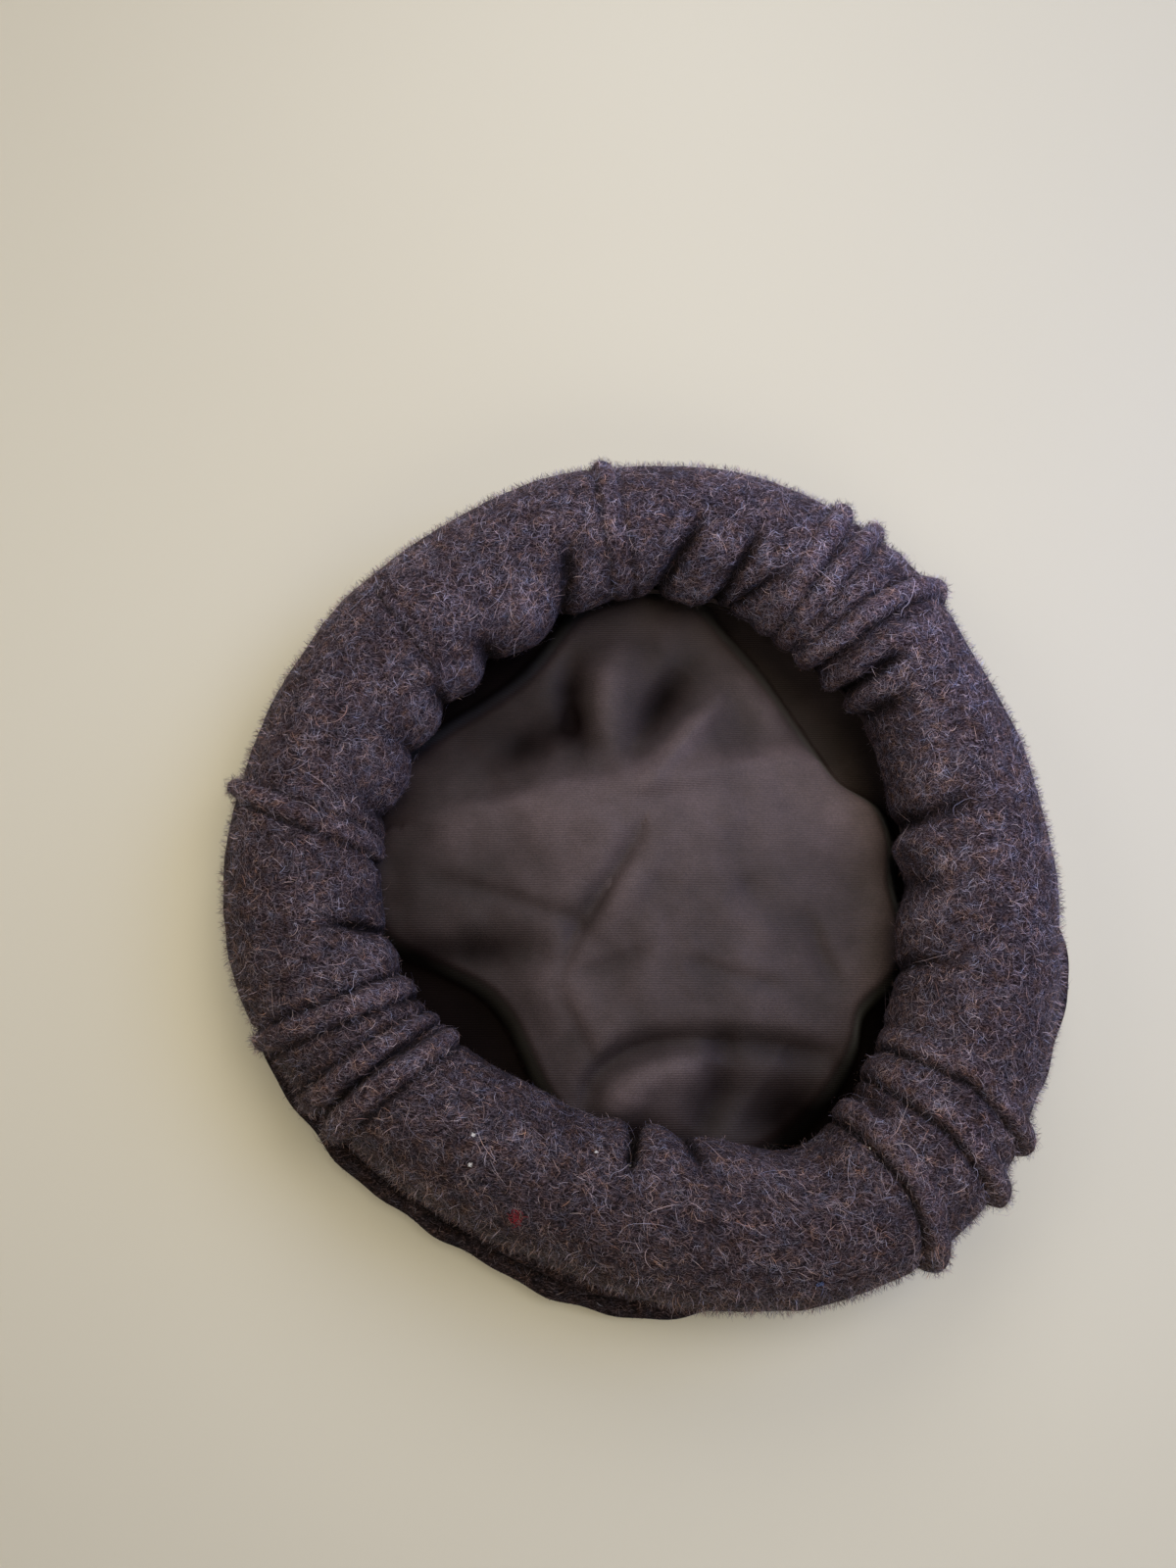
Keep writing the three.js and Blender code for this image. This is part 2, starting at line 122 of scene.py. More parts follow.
# Corded tucks: direction at the head opening, on top and outside, width, height on top,
# how much more the outer end stands out, and the depth of the groove on each side.
# left is the side with the greater angle.
TUCKS = table(
    "inner  top    outer  width height nub  left right",
    """ 55.7   50.6   44.6   7.5   2.2   2.6   1.1  1.4
        58.6   54.7   52.0   6.5   0.7   0.0   0.2  0.2
        61.8   59.0   56.8   7.5   1.4   2.8   0.9  1.1
        66.2   63.3   62.4   8.0   1.2   2.6   0.4  1.1
        95.6   96.8   96.8   7.0   0.6   2.3   0.9  0.7
       174.6  171.2  167.6   7.0   0.9   2.9   1.4  0.8
       203.3  203.6  202.8   8.0   1.5   1.4   1.5  1.7
       212.6  212.4  213.2   7.5   1.5   1.3   1.8  1.3
       217.0  217.0  218.2   8.5   2.1   1.8   1.5  1.9
       309.0  309.3  305.3   8.0   1.5   3.2   0.0  1.8
       318.6  319.3  316.8   8.0   1.3   3.4   0.1  1.6
       325.2  327.0  323.9   7.5   1.1   3.4   0.1  1.5""",
)

# Gathers: valleys where the cloth is drawn in, and soft bulges, whose depth is below zero.
# start and end say where along the roll each one begins and fades out.
GATHERS = table(
    "inner  top    outer  start  end   width  depth",
    """  7.5    8.0    8.0  -1.5  -0.30  11.0  -2.0
        12.0   13.2   13.2  -1.5   0.00   9.0   3.0
        38.3   34.0   34.0  -1.5  -0.25   8.0   2.5
        41.7   39.0   37.5  -1.4  -0.15   8.0  -1.5
        44.7   41.8   39.0  -1.6  -0.05   6.0   5.0
        48.0   45.3   40.5  -1.4   0.20   9.0  -1.8
        51.6   46.9   42.0  -1.2   0.50   6.0   1.5
        74.4   65.6   65.6  -1.4  -0.20   5.0   3.0
        77.3   73.0   73.0  -1.4   0.05   5.0   4.0
        82.0   79.0   79.0  -1.4  -0.20  10.0  -1.2
        89.2   83.0   83.0  -1.5   0.00   6.0   5.0
       108.4  104.2  104.2  -1.5  -0.05   8.0   3.5
       111.0  110.0  107.5   0.05  0.45   5.0   0.8
       116.5  115.0  115.0  -1.5  -0.30  20.0  -2.5
       126.4  126.0  126.0  -1.5  -0.50   9.0   3.5
       132.4  132.0  132.0  -1.5  -0.50  12.0  -1.5
       139.7  139.6  139.6  -1.5  -0.50   6.0   2.5
       145.0  145.0  145.0  -1.5  -0.50  12.0  -1.5
       152.0  152.0  152.0  -1.5  -0.55   6.0   2.0
       158.5  158.0  158.0  -1.5  -0.40  16.0  -2.5
       166.8  166.0  164.0  -1.5  -0.50   7.0   2.5
       177.0  176.5  176.5  -1.4  -0.70   4.0   1.5
       191.6  187.8  187.8  -1.1  -0.15   4.2   4.5
       196.0  195.0  195.0  -1.4  -0.50   9.0  -1.2
       214.6  214.6  215.2  -0.9   0.50   4.5   1.6
       260.6  260.0  260.0  -1.4  -0.35   9.0  -1.5
       264.9  262.8  262.8  -1.4  -0.28   4.4   6.0
       270.0  270.0  270.0  -1.4  -0.35  13.0  -2.2
       275.6  280.0  280.0  -1.4  -0.35   5.0   2.5
       283.0  284.0  284.0  -1.4  -0.40  13.0  -1.0
       312.6  313.6  312.0  -1.4  -0.40   7.0   1.5
       331.0  332.0  331.0  -1.4  -0.30  10.0  -1.0
       340.4  344.5  344.5  -1.4  -0.30   6.0   2.0
       350.5  350.5  350.5  -1.4  -0.40  14.0  -1.0
       359.0  359.0  359.0  -1.5  -0.40  12.0   1.5""",
)

# The two thin lines of the band's flat joining seam.
SEAM_LINES = table(
    "inner  top    outer  start  end   width  depth",
    """138.9  136.3  133.4  -0.60  0.80   1.7   0.9
       135.8  134.1  131.6  -0.30  0.60   1.5   0.5""",
)

# ---- curves round the cap --------------------------------------------


def smooth(points, key, angle):
    """Smooth closed curve through a table's values, at an array of angles."""
    at = np.array(points["at"], float)
    values = np.array(points[key], float)
    slopes = (np.roll(values, -1) - np.roll(values, 1)) / (
        (np.roll(at, -1) - np.roll(at, 1)) % 360.0
    )
    turned = angle % 360.0
    before = (np.searchsorted(at, turned, side="right") - 1) % len(at)
    after = (before + 1) % len(at)
    span = (at[after] - at[before]) % 360.0
    t = ((turned - at[before]) % 360.0) / span
    return (
        values[before] * (1 + 2 * t) * (1 - t) ** 2
        + slopes[before] * span * t * (1 - t) ** 2
        + values[after] * t * t * (3 - 2 * t)
        + slopes[after] * span * t * t * (t - 1)
    )


def angle_between(a, b):
    """How far a is from b, from -180 to 180 degrees."""
    return (np.asarray(a) - b + 180.0) % 360.0 - 180.0


def ramp_up(value, low, high):
    """Smooth step from 0 at low to 1 at high."""
    t = np.clip((value - low) / (high - low), 0.0, 1.0)
    return t * t * (3 - 2 * t)


def crown_edge(angle):
    return smooth(CROWN_EDGE, "radius", angle)


def roll_top(angle):
    return ROLL_TOP + ROLL_TOP_CHANGE * np.cos(np.radians(angle - THICK_SIDE))


def lean(inward, outward, along):
    """Sideways lean in degrees, from its values where along is -1 and 1; on top it is 0."""
    share = np.clip(along, -1, 1)
    return np.where(share < 0, -share * inward, share * outward)


FOLDS_IN_ORDER = sorted(TUCKS + GATHERS + SEAM_LINES, key=lambda fold: fold["top"])


def lean_of(top, along):
    """Lean of the cloth's own lines, each between those of the folds on its two sides."""
    at, inner, outer = [
        np.array([fold[key] for fold in FOLDS_IN_ORDER]) for key in ("top", "inner", "outer")
    ]
    inward = np.interp(top % 360.0, at, inner - at, period=360)
    outward = np.interp(top % 360.0, at, outer - at, period=360)
    return lean(inward, outward, along)


def hat_centre():
    """Where the middle of the design's circles lies in the row frame, in millimetres."""
    columns = 48
    angle = np.arange(columns) * 360.0 / columns
    edge = crown_edge(angle)
    x = edge * np.cos(np.radians(angle))
    y = edge * np.sin(np.radians(angle))
    low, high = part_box("crown")
    return (
        (low[0] + high[0]) / 2 / MM - (x.min() + x.max()) / 2,
        (low[1] + high[1]) / 2 / MM - (y.min() + y.max()) / 2,
    )


CENTRE = hat_centre()

NOISE_CELLS = 32  # after which the noise repeats


def noise3(points, seed, octaves):
    """Smooth seeded noise from -1 to 1 at an array of points, one unit per bump."""
    rng = np.random.default_rng(seed)
    total = np.zeros(len(points))
    weight = 0.0
    for octave in range(octaves):
        values = rng.uniform(-1, 1, (NOISE_CELLS,) * 3)
        p = points * 2.0**octave + 7.3 * octave
        cell = np.floor(p).astype(int)
        f = p - cell
        f = f * f * (3 - 2 * f)
        value = np.zeros(len(points))
        for dx in (0, 1):
            for dy in (0, 1):
                for dz in (0, 1):
                    share = (
                        (f[:, 0] if dx else 1 - f[:, 0])
                        * (f[:, 1] if dy else 1 - f[:, 1])
                        * (f[:, 2] if dz else 1 - f[:, 2])
                    )
                    corner = (cell + (dx, dy, dz)) % NOISE_CELLS
                    value += share * values[corner[:, 0], corner[:, 1], corner[:, 2]]
        total += value * 0.5**octave
        weight += 0.5**octave
    return total / weight


def bumps(points, size, seed):
    """Noise from -1 to 1 over a grid of points, with bumps of about a size."""
    return noise3(points.reshape(-1, 3) / size, seed, 2).reshape(points.shape[:-1])


# ---- mesh helpers ----------------------------------------------------


def make_mesh(name, points, faces, material, values):
    """An object from points in mm round the hat's centre, with values at the points."""
    shifted = points.reshape(-1, 3) + np.array([CENTRE[0], CENTRE[1], 0.0])
    mesh = bpy.data.meshes.new(name)
    sides = faces.shape[1]
    mesh.vertices.add(len(shifted))
    mesh.vertices.foreach_set("co", (shifted * MM).ravel())
    mesh.loops.add(faces.size)
    mesh.loops.foreach_set("vertex_index", faces.ravel())
    mesh.polygons.add(len(faces))
    mesh.polygons.foreach_set("loop_start", np.arange(len(faces)) * sides)
    mesh.polygons.foreach_set("use_smooth", np.ones(len(faces), bool))
    mesh.update(calc_edges=True)
    for key, value in values.items():
        attribute = mesh.attributes.new(key, "FLOAT", "POINT")
        attribute.data.foreach_set("value", value.ravel())
    mesh.validate()
    mesh.materials.append(material)
    piece = bpy.data.objects.new(name, mesh)
    bpy.context.scene.collection.objects.link(piece)
    return piece


def grid_faces(columns, rows, close_rows=True):
    """Quads over a ring of columns whose points are numbered column by column."""
    c = np.arange(columns)
    r = np.arange(rows if close_rows else rows - 1)
    c, r = np.meshgrid(c, r, indexing="ij")
    c2, r2 = (c + 1) % columns, (r + 1) % rows
    quads = np.stack([c * rows + r, c * rows + r2, c2 * rows + r2, c2 * rows + r], -1)
    return quads.reshape(-1, 4)


def along_curve(nodes, steps):
    """Smooth curve through nodes, shaped (columns, nodes, values), in the given steps."""
    first = 2 * nodes[:, :1] - nodes[:, 1:2]
    last = 2 * nodes[:, -1:] - nodes[:, -2:-1]
    q = np.concatenate([first, nodes, last], 1)
    parts = []
    for k, count in enumerate(steps[:-1]):
        a, b, c, d = q[:, k], q[:, k + 1], q[:, k + 2], q[:, k + 3]
        for j in range(count):
            t = j / count
            parts.append(
                0.5
                * (
                    2 * b
                    + (c - a) * t
                    + (2 * a - 5 * b + 4 * c - d) * t * t
                    + (3 * b - a - 3 * c + d) * t**3
                )
            )
    parts.append(nodes[:, -1])
    return np.stack(parts, 1)


def left_normals(path):
    """Unit normals left of travel of paths shaped (columns, points, 2)."""
    step = np.gradient(path, axis=1)
    normal = np.stack([-step[..., 1], step[..., 0]], -1)
    return normal / np.linalg.norm(normal, axis=-1, keepdims=True)


def to_xyz(radius, angle, z):
    """Points from a radius and an angle round the hat's centre, and a height."""
    a = np.radians(angle)
    return np.stack([radius * np.cos(a), radius * np.sin(a), z], -1)


def weld(piece):
    """Joins the points that lie on each other, such as those in the middle of a disc."""
    work = bmesh.new()
    work.from_mesh(piece.data)
    bmesh.ops.remove_doubles(work, verts=work.verts, dist=1e-6)
    work.to_mesh(piece.data)
    work.free()


# ---- rolled brim -----------------------------------------------------

BRIM_COLUMNS = 740
HIDDEN_ROW_STEP = 5
SEAM_STEPS = 3  # from the seam with the crown to the path's first row
COLUMN_RADIUS = 118.0  # of the roll's top, where the columns' spacing is worked out

# The cloth's unevenness: how far folds wander, and the height of its lumps and its nap,
# each with the size of its bumps.
FOLD_WANDER, WANDER_SIZE = 0.9, 16.0
LUMP_HEIGHT, LUMP_SIZE = 0.8, 15.0
NAP_HEIGHT, NAP_SIZE = 0.22, 2.4

# How a gather's depth falls off across it: valleys are sharper in the middle than bulges.
GATHER_FALL = 1.6
VALLEY_POWER = 1.6
BULGE_POWER = 2.2

# Where the groove beside a tuck is deepest, and its width, in half widths of the tuck.
GROOVE_PLACE = 1.1
GROOVE_WIDTH = 0.28

# standing is 0.5 on level cloth, more on what stands out and less in grooves and gathers.
LEVEL = 0.5
STANDING_PER_RISE = 0.25
STANDING_PER_GATHER = 0.13


def brim_directions():
    """Directions of the columns, which are closest together over the narrowest folds."""
    fine = np.arange(0, 360, 0.05)
    density = np.ones_like(fine)
    for fold in TUCKS + GATHERS + SEAM_LINES:
        offset = np.radians(angle_between(fine, fold["top"])) * COLUMN_RADIUS
        reach = 0.75 * fold["width"]
        extra = 6.0 / (1.0 + fold["width"])
        density += extra * np.exp(-((offset / reach) ** 4))
    total = np.concatenate([[0.0], np.cumsum(density)])
    marks = np.arange(BRIM_COLUMNS) * total[-1] / BRIM_COLUMNS
    return np.interp(marks, total, np.append(fine, 360.0))


def fold_offset(fold, angle, along, radius):
    """Distance from a fold's line in mm, counter-clockwise, at points of the band."""
    top = fold["top"]
    line = top + lean(fold["inner"] - top, fold["outer"] - top, along)
    return np.radians(angle_between(angle, line)) * radius


def gather_depth(folds, angle, along, radius):
    """How deep the gathers or seam lines are at points of the band."""
    depth = np.zeros_like(angle)
    for fold in folds:
        share = 2 * fold_offset(fold, angle, along, radius) / fold["width"]
        power = VALLEY_POWER if fold["depth"] > 0 else BULGE_POWER
        here = ramp_up(along, fold["start"] - 0.15, fold["start"] + 0.15) * (
            1 - ramp_up(along, fold["end"] - 0.3, fold["end"] + 0.12)
        )
        depth += fold["depth"] * here * np.exp(-GATHER_FALL * np.abs(share) ** power)
    return depth


def tuck_relief(angle, along, radius, rib, nub):
    """Height of the corded tucks over the cloth, with a groove at their feet."""
    height = np.zeros_like(angle)
    groove = np.zeros_like(angle)
    for tuck in TUCKS:
        share = 2 * fold_offset(tuck, angle, along, radius) / tuck["width"]
        cord = np.clip(1 - np.abs(share) ** 2.2, 0, 1) ** 0.6
        height += (tuck["height"] * rib + tuck["nub"] * nub) * cord
        for side, depth in ((GROOVE_PLACE, tuck["left"]), (-GROOVE_PLACE, tuck["right"])):
            here = depth * rib * np.exp(-(((share - side) / GROOVE_WIDTH) ** 2))
            groove = np.maximum(groove, here)
    return height - groove


def band_nodes(top):
    """The cloth's middle at an array of directions: radius, z, angle, along, rib, nub."""
    rows = {key: np.array(BAND_PATH[key], float)[None] for key in BAND_PATH if key != "steps"}
    along = rows["along"] + 0 * top[:, None]
    angle = top[:, None] + lean_of(top[:, None] + 0 * along, along)
    inner = smooth(ROLL, "inner", angle)
    outer = smooth(ROLL, "outer", angle)
    radius = inner + (outer - inner) * rows["across"]
    z = BAND_FLOOR + (roll_top(angle) - BAND_FLOOR) * rows["up"]
    shares = [rows[key] + 0 * along for key in ("along", "rib", "nub")]
    nodes = np.stack([radius, z, angle, *shares], -1)
    at_seam = nodes[:, 0].copy()
    at_seam[:, 0] = crown_edge(angle[:, 0]) - SEAM_INSET
    at_seam[:, 1] = EDGE_HEIGHT + EDGE_THICKNESS / 2 + CLEARANCE + CLOTH / 2
    return np.concatenate([at_seam[:, None], nodes], 1)


def band_surface():
    """Both faces of the band, with where along each row lies and how far it stands out."""
    steps = (SEAM_STEPS,) + BAND_PATH["steps"]
    path = along_curve(band_nodes(brim_directions()), steps)
    centre = path[..., :2]
    angle, along, rib, nub = (path[..., k] for k in (2, 3, 4, 5))
    radius = centre[..., 0]
    where = to_xyz(radius, angle, centre[..., 1])
    wandering = angle + np.degrees(FOLD_WANDER * bumps(where, WANDER_SIZE, seed=8) / radius)
    gathered = gather_depth(GATHERS, wandering, along, radius)
    push = LUMP_HEIGHT * bumps(where, LUMP_SIZE, seed=3) - gathered
    centre = centre + left_normals(centre) * push[..., None]
    normal = left_normals(centre)
    raised = tuck_relief(wandering, along, radius, np.clip(rib, 0, 1), np.clip(nub, 0, 1))
    raised -= gather_depth(SEAM_LINES, angle, along, radius)
    standing = LEVEL + STANDING_PER_RISE * raised - STANDING_PER_GATHER * gathered
    standing = np.clip(standing, 0, 1)
    nap = NAP_HEIGHT * bumps(where, NAP_SIZE, seed=4) * np.clip(rib + 0.2, 0, 1)
    ahead = centre + normal * (CLOTH / 2 + raised + nap)[..., None]
    behind = centre - normal * CLOTH / 2
    visible = to_xyz(ahead[..., 0], angle, ahead[..., 1])
    hidden = to_xyz(behind[..., 0], angle, behind[..., 1])
    return visible, hidden, along, standing


def every_few(rows, step):
    """Every row by a step, and the last one, for a face that is hardly seen."""
    return np.unique(np.append(np.arange(0, rows, step), rows - 1))


def build_brim(visible, hidden, standing, material):
    """One closed cloth: its visible face, and its hidden one with fewer rows."""
    columns, rows = visible.shape[:2]
    hidden = hidden[:, every_few(rows, HIDDEN_ROW_STEP)[::-1]]
    points = np.concatenate([visible, hidden], 1)
    faces = grid_faces(columns, points.shape[1])
    standing = np.concatenate([standing, np.full(hidden.shape[:2], LEVEL)], 1)
    return make_mesh("rolled_brim_wool", points, faces, material, {"standing": standing})


# ---- crown -----------------------------------------------------------

CROWN_COLUMNS = 360
CROWN_PAINTED_SHADE_STANDING = 0.42  # painted shade: the crown shows only under the roll, in its shadow

# Small waves of the sewn edge: height, how many go round the cap, and their start.
EDGE_WAVES = table(
    "height count turn",
    """0.5    23     0
       0.4    41    50""",
)


def crown_surface():
    """The crown's faces as a grid, from the middle below, round the edge, to inside."""
    angle = np.arange(CROWN_COLUMNS) * 360.0 / CROWN_COLUMNS
    edge = crown_edge(angle) - 0.6
    for wave in EDGE_WAVES:
        edge += wave["height"] * np.sin(np.radians(angle * wave["count"] + wave["turn"]))
    slope = CROWN_FLAT + (edge - CROWN_FLAT) * 0.55
    half = EDGE_THICKNESS / 2
    flat = np.full_like(angle, CROWN_FLAT)
    middle = np.zeros_like(angle)
    # radius, height and the steps to the next row
    profile = [
        (middle, 0.0, 8),
        (flat, 0.0, 3),
        (slope, CROWN_SLOPE_HEIGHT, 6),
        (edge - 5, EDGE_HEIGHT - half - 1, 5),
        (edge - 1.2, EDGE_HEIGHT - half * 0.7, 4),
        (edge, EDGE_HEIGHT, 4),
        (edge - 1.2, EDGE_HEIGHT + half * 0.7, 5),
        (edge - 5, EDGE_HEIGHT + half - 0.6, 6),
        (slope, CROWN_SLOPE_HEIGHT + CLOTH, 3),
        (flat, CLOTH, 5),
        (middle, CLOTH, 0),
    ]
    nodes = np.stack([np.stack([r, np.full_like(r, z)], -1) for r, z, _ in profile], 1)
    path = along_curve(nodes, [steps for _, _, steps in profile])
    path[..., 1] = np.clip(path[..., 1], 0.0, None)
    return to_xyz(path[..., 0], angle[:, None], path[..., 1])


def build_crown(points, material):
    """One closed cloth, whose first and last rows are the middles of its two faces."""
    faces = grid_faces(CROWN_COLUMNS, points.shape[1], close_rows=False)[:, ::-1]
    values = {"standing": np.full(points.shape[:2], CROWN_PAINTED_SHADE_STANDING)}
    piece = make_mesh("crown_wool", points, faces, material, values)
    weld(piece)
    return piece


# ---- wool fibres -----------------------------------------------------

# Strands of wool, in mm. lift: how far most of them stand off the cloth at the most.
# upright and reach: the share that stands up, and how far. bend is in radians, and steps
# is how many parts a strand has. tone and spread: how pale they are, and how much that
# varies.
CURLED, SHORT, HALO, HAIRS = table(
    "length lift upright reach width bend steps tone spread",
    """2.9    0.32 0.05    2.0   0.12  1.3  2     0.51 0.20
       1.7    0.22 0.05    1.5   0.12  0.0  1     0.47 0.21
       2.4    0.60 0.85    2.5   0.15  1.2  2     0.52 0.20
       12.0   1.6  0.50    5.0   0.12  2.2  10    0.72 0.15""",
)
STRAND_ROOT = 0.08  # least height of a strand over the cloth
CLUMP_SIZE = 4.5
CLUMP_SEED = 31

# Specks of other wool in the felt, in mm. at is the direction from the hat's centre, and
# along the place on the roll. hue: 0 white, 0.5 blue, 1 red.
FLECKS = table(
    "at     along  size  fibres hue",
    """246.3   0.42   2.4   30     1.0
       234.6   0.01   0.4   12     0.0
       236.4   0.19   0.4   12     0.0
       256.4  -0.40   0.3    8     0.0
       264.0  -0.40   0.3    8     0.0
       306.9  -0.38   0.3    8     0.0
       290.4   0.50   0.9   12     0.5""",
)
FLECK_SEED = 29
FLECK_FIBRE_WIDTH = 0.16
MM_PER_DEGREE = 2  # roughly, round the roll
MM_PER_ALONG = 30  # roughly, across the roll


def grid_normals(points, flip):
    """Unit normals of a ring of columns, shaped (columns, rows, 3); flip is 1 or -1."""
    ahead = np.roll(points, -1, 0) - np.roll(points, 1, 0)
    across = np.gradient(points, axis=1)
    normal = np.cross(ahead, across) * flip
    return normal / np.maximum(np.linalg.norm(normal, axis=-1, keepdims=True), 1e-9)


def sample_grid(grid, column, row):
    """Values of a ring grid at fractional columns and rows."""
    columns, rows = grid.shape[:2]
    row = np.clip(row, 0, rows - 1.001)
    c0 = np.floor(column).astype(int)
    r0 = row.astype(int)
    u = (column - c0)[:, None]
    v = (row - r0)[:, None]
    a, b = c0 % columns, (c0 + 1) % columns
    return (
        grid[a, r0] * (1 - u) * (1 - v)
        + grid[b, r0] * u * (1 - v)
        + grid[a, r0 + 1] * (1 - u) * v
        + grid[b, r0 + 1] * u * v
    )


def ribbon_faces(count, steps):
    """Quads of ribbons, each with two points at every step."""
    start = np.arange(count)[:, None] * (2 * (steps + 1)) + 2 * np.arange(steps)[None]
    return np.stack([start, start + 1, start + 3, start + 2], -1).reshape(-1, 4)


def build_strands(name, surface, rows, count, seed, material, kind):
    """Thin ribbons lying on a ring grid: each follows the surface and lifts off it.

    The surface is its points, its normals and how much paler than usual strands are there,
    which is painted light and shade.
    """
    points, normals, shade = surface
    rng = np.random.default_rng(seed)
    cells = points[:, rows[0] : rows[1] + 1]
    down = np.linalg.norm(np.diff(cells, axis=1), axis=-1)
    ahead = np.linalg.norm(np.roll(cells, -1, 0) - cells, axis=-1)[:, :-1]
    area = (down * ahead).ravel()
    chosen = np.searchsorted(np.cumsum(area) / area.sum(), rng.random(count))
    column, row = np.divmod(chosen, down.shape[1])
    per_column = np.maximum(ahead.ravel()[chosen], 0.25)
    per_row = np.maximum(down.ravel()[chosen], 0.4)
    column = column + rng.random(count)
    row = rows[0] + row + rng.random(count)
    first_column, first_row = column, row
    heading = rng.uniform(0, 2 * math.pi, count)
    bend = rng.normal(0, kind["bend"], count)
    length = kind["length"] * rng.uniform(0.45, 1.6, count)
    height = rng.random(count)
    upright = rng.random(count) < kind["upright"]
    lift = np.where(upright, kind["reach"] * (0.25 + 0.75 * height), kind["lift"] * height**1.5)
    steps = int(kind["steps"])
    spine = []
    for share in np.arange(steps + 1) / steps:
        out = sample_grid(normals, column, row)
        arch = np.sin(math.pi * (0.12 + 0.76 * share))
        rise = STRAND_ROOT + lift * np.where(upright, share**1.2, arch)
        spine.append(sample_grid(points, column, row) + out * rise[:, None])
        turn = heading + bend * share
        column = column + np.cos(turn) * length / steps / per_column
        row = row + np.sin(turn) * length / steps / per_row
    spine = np.stack(spine, 1)
    side = np.cross(np.gradient(spine, axis=1), out[:, None] + 0 * spine)
    side /= np.maximum(np.linalg.norm(side, axis=-1, keepdims=True), 1e-9)
    thick = kind["width"] * rng.uniform(0.6, 1.4, count)
    taper = np.sin(math.pi * (0.14 + 0.76 * np.linspace(0, 1, steps + 1)))
    half = side * (thick[:, None] * taper[None] / 2)[..., None]
    ribbon = np.stack([spine - half, spine + half], 2)
    clumps = noise3(spine[:, 0] / CLUMP_SIZE, CLUMP_SEED, 3)
    # The surface's painted light and shade, then painted shade by height: fibres lying lower are
    # darker, raised ones paler. Clumps and the spread are the wool's own tone.
    tone = sample_grid(shade[..., None], first_column, first_row)[:, 0]
    tone += kind["tone"] + 0.3 * (height - 0.5) + 0.3 * clumps
    tone += rng.normal(0, kind["spread"], count)
    values = {"tone": np.clip(tone, 0, 1), "tint": rng.random(count)}
    values = {key: np.repeat(value, 2 * (steps + 1)) for key, value in values.items()}
    return make_mesh(name, ribbon, ribbon_faces(count, steps), material, values)


def build_flecks(points, normals, along, material):
    """Each speck is a small tangle of short ribbons on the cloth, with three points each."""
    rng = np.random.default_rng(FLECK_SEED)
    heading = np.degrees(np.arctan2(points[..., 1], points[..., 0])) % 360
    spines, sides, hues = [], [], []
    for fleck in FLECKS:
        aside = MM_PER_DEGREE * (heading - fleck["at"])
        over = MM_PER_ALONG * (along - fleck["along"])
        spot = np.unravel_index(np.argmin(aside**2 + over**2), along.shape)
        for _ in range(int(fleck["fibres"])):
            aim = np.cross(normals[spot], rng.normal(0, 1, 3))
            aim /= np.linalg.norm(aim)
            side = np.cross(normals[spot], aim)
            middle = points[spot] + normals[spot] * rng.uniform(0.3, 0.7)
            middle = middle + fleck["size"] * (aim * rng.normal() + side * rng.normal()) / 2
            reach = aim * rng.uniform(0.4, 0.8) * fleck["size"] ** 0.5
            bow = side * rng.normal(0, 0.25)
            spines.append([middle - reach, middle + bow, middle + reach])
            sides.append(side * FLECK_FIBRE_WIDTH / 2)
            hues.append(fleck["hue"])
    spines = np.array(spines)
    sides = np.array(sides)[:, None]
    ribbons = np.stack([spines - sides, spines + sides], 2)
    values = {"hue": np.repeat(hues, 6)}
    return make_mesh("wool_flecks", ribbons, ribbon_faces(len(spines), 2), material, values)


# ---- lining ----------------------------------------------------------

LINING_COLUMNS = 300
LINING_RINGS = 104
LINING_FLOOR = 4.4
LINING_HIDDEN_STEP = 4

# The puff's height in the middle, how much lower it gets to the north and the west, the
# least height that folds leave it, and the share of the roll's width that the pocket goes
# under it.
PUFF = 20.5
NORTH_FALL = 5.0
WEST_FALL = 3.5
PUFF_LEAST = 3.0
POCKET_REACH = 0.34

# How pale the satin is, from 0 to 1, as painted light and shade: on the puff, how much that
# changes with each mm of a fold, and on the side out of the light and in it. Most light
# reaches the side at LIT_SIDE.
PUFF_PALE = 0.77
PALE_PER_HEIGHT = 0.1
SIDE_PALE = 0.28
LIT_SIDE_PALE = 0.9
LIT_SIDE = 45.0

# The lining's side follows these rows of band_nodes, at these distances off the wool.
# The last one goes into the wool, where the lining is sewn on.
SIDE_ROWS = (2, 3, 4)
SIDE_GAPS = (0.5, 0.2, -4.2)

# Where the puffed lining turns down towards the pocket round it.
PUFF_EDGE = {
    "at": (0, 10, 19, 29, 40, 50, 60, 72, 84, 102, 113, 122, 132, 142, 152, 165,
           178, 190, 202, 212, 224, 234, 244, 258, 275, 295, 312, 322, 330, 344),
    "radius": (85, 87, 86, 77, 77, 80, 86, 96, 110, 106, 93, 88, 88, 92, 98, 100,
               100, 95, 76, 67, 66, 71, 79, 90, 95, 96, 92, 88, 84, 92),
}

